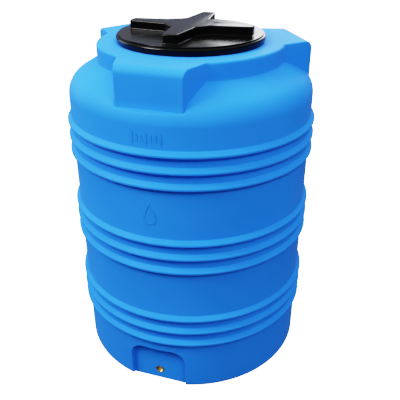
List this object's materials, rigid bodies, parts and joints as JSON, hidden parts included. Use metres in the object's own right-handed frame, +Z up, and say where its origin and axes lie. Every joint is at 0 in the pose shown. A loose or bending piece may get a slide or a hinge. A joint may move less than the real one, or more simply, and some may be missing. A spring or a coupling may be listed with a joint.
{
  "type": "livestock water tank",
  "caption": "Upright cylindrical livestock water tank with ribbed wall, lugged crown, screw lid with cross grip and a threaded outlet at its foot.",
  "frame": {"origin": "middle of the base, on the surface that the tank stands on", "axes": "+Z up along the tank's axis, -Y towards the outlet recess and the lug above it, +X to the right of the outlet as it is faced"},
  "size_m": [0.6866, 0.6866, 0.9712],
  "materials": {
    "shell": "satin rotation-moulded polyethylene, blue",
    "insert": "machined brass",
    "gasket": "matt black rubber",
    "lid": "glossy injection-moulded black plastic"
  },
  "bodies": {
    "tank": {"tank_shell": "shell", "outlet_insert": "insert"},
    "seal": {"lid_gasket": "gasket"},
    "cap": {"lid": "lid"}
  },
  "joints": [
    {"name": "lid_rise", "type": "slide", "parent": "tank", "child": "seal", "axis": [0, 0, 1], "range_m": [0, 0.016]},
    {"name": "lid_turn", "type": "hinge", "parent": "seal", "child": "cap", "pos_m": [0, 0, 0.9484], "axis": [0, 0, 1], "range_deg": [0, 720]}
  ],
  "couplings": [
    {"joint": "lid_rise", "follows": "lid_turn", "m_per_rad": 0.0012732}
  ]
}
